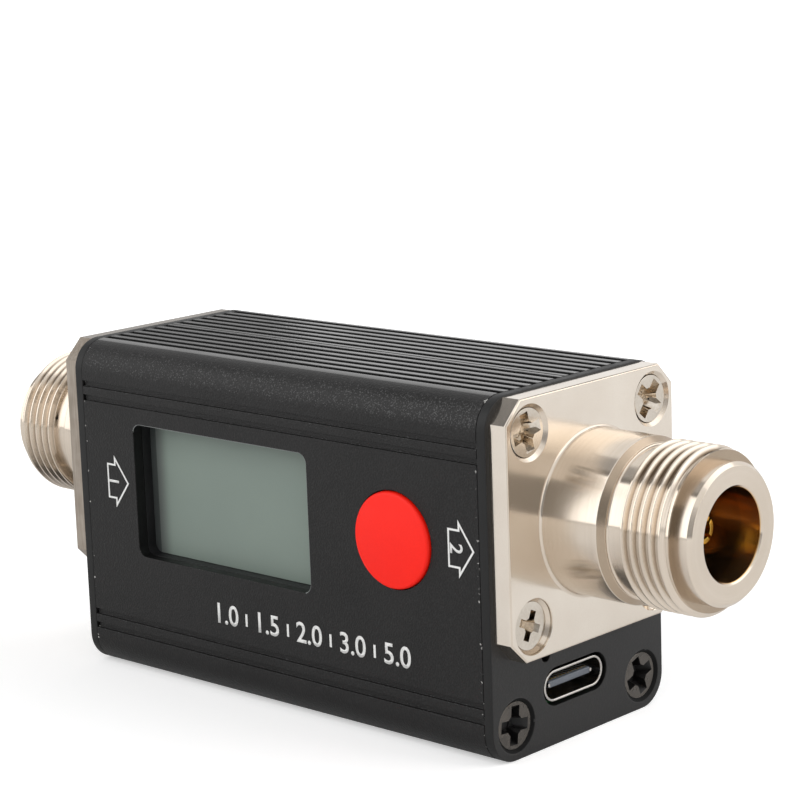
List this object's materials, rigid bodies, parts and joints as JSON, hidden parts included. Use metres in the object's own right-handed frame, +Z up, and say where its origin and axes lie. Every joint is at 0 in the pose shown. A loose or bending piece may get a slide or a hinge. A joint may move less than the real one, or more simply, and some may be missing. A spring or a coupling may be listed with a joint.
{
  "type": "digital standing-wave meter",
  "caption": "Pocket in-line radio meter: ribbed black tube with a flanged coaxial jack at each end, a recessed display, a round red push button and a charging socket.",
  "frame": {"origin": "centre of the underside, on the middle rib that the case stands on", "axes": "+X along the case towards the jack above the charging socket, -Y out of the display, +Z up"},
  "size_m": [0.0934, 0.0267, 0.0352],
  "materials": {
    "black_anodised_aluminium": "fine sandblasted black anodising",
    "black_panel_aluminium": "satin black anodising",
    "nickel_plate": "turned brass with bright nickel plating",
    "white_insulator": "turned white plastic",
    "gold_plate": "gold plating",
    "nickel_screws": "bright nickel plating",
    "zinc_plated_steel": "zinc plating",
    "black_screws": "black oxide",
    "red_plastic": "satin moulded plastic",
    "black_plastic": "moulded plastic",
    "spring_steel": "bright spring sheet",
    "tinned_metal": "tin plating",
    "circuit_board": "green solder mask",
    "display_film": "clear grey-green film",
    "dark_glass": "smooth dark glass",
    "light_guide": "white light guide",
    "chip_plastic": "moulded package",
    "led_lens": "clear lens",
    "copper_line": "bare copper",
    "foam_tape": "foam",
    "usb_steel": "bright stainless steel",
    "usb_plastic": "moulded plastic",
    "cell_foil": "laminated foil pouch",
    "red_wire": "insulated wire"
  },
  "bodies": {
    "meter": {"extruded_case": "black_anodised_aluminium", "left_end_panel": "black_panel_aluminium", "right_end_panel": "black_panel_aluminium", "left_connector_body": "nickel_plate", "right_connector_body": "nickel_plate", "left_insulator": "white_insulator", "right_insulator": "white_insulator", "left_contact": "gold_plate", "right_contact": "gold_plate", "left_flange_screws": "nickel_screws", "right_flange_screws": "nickel_screws", "left_flange_nuts": "zinc_plated_steel", "right_flange_nuts": "zinc_plated_steel", "left_panel_screws": "black_screws", "right_panel_screws": "black_screws", "switch_body": "black_plastic", "lcd_frame": "black_plastic", "board_header": "black_plastic", "snap_dome": "spring_steel", "switch_cover": "spring_steel", "switch_legs": "tinned_metal", "lcd_pins": "tinned_metal", "link_pins": "tinned_metal", "shield_can": "tinned_metal", "display_board": "circuit_board", "coupler_board": "circuit_board", "charger_board": "circuit_board", "lcd_polariser": "display_film", "lcd_glass": "dark_glass", "lcd_backlight": "light_guide", "processor_chip": "chip_plastic", "charger_chip": "chip_plastic", "detector_diodes": "chip_plastic", "terminating_resistors": "chip_plastic", "charge_led": "led_lens", "through_line": "copper_line", "sense_lines": "copper_line", "board_pad": "foam_tape", "battery_pad": "foam_tape", "usb_shell": "usb_steel", "usb_tongue": "usb_plastic", "battery_cell": "cell_foil", "battery_leads": "red_wire"},
    "button": {"button_cap": "red_plastic", "switch_plunger": "black_plastic"}
  },
  "joints": [
    {"name": "button_press", "type": "slide", "parent": "meter", "child": "button", "axis": [0, 1, 0], "range_m": [0, 0.0003], "stiffness_N_per_m": 4000, "springref_m": -0.0002, "deforming": ["snap_dome"]}
  ]
}
